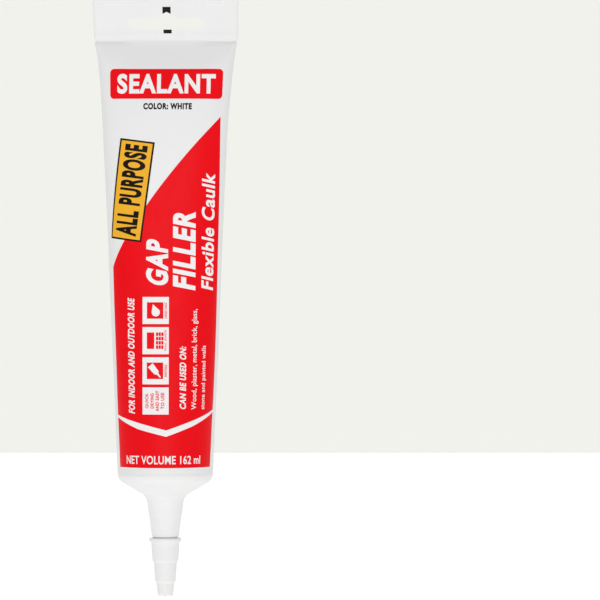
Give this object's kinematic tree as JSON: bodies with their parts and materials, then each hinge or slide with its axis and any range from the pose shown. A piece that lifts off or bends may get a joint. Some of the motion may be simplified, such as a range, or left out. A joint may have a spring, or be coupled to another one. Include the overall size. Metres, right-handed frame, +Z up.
{
  "type": "caulk squeeze tube",
  "caption": "White plastic squeeze tube of caulk with a flat hang-slot tail, round shoulder, long tapered nozzle and a stepped push-on cap, hung nozzle down.",
  "frame": {"origin": "middle of the hang slot's upper edge, where a peg bears, in the middle of the tail's thickness", "axes": "+Z up along the tube's axis, from the nozzle to the tail; the printed front faces -Y; +X to the right seen from the front"},
  "size_m": [0.0606, 0.04, 0.2495],
  "materials": {
    "film": "satin white polyethylene film, printed on the front in red, yellow, black and white",
    "moulding": "satin white moulded polyethylene",
    "caulk": "off-white paste, seen only if the tube is cut"
  },
  "bodies": {
    "tail": {"crimped_tail": "film"},
    "tube": {"tube_sleeve": "film", "tube_head": "moulding", "caulk_fill": "caulk"},
    "cap": {"tip_cap": "moulding"}
  },
  "joints": [
    {"name": "tail_fold", "type": "hinge", "parent": "tail", "child": "tube", "pos_m": [0, 0, -0.0119], "axis": [1, 0, 0], "range_deg": [-90, 90]},
    {"name": "cap_pull", "type": "slide", "parent": "tube", "child": "cap", "axis": [0, 0, -1], "range_m": [0, 0.03]}
  ]
}
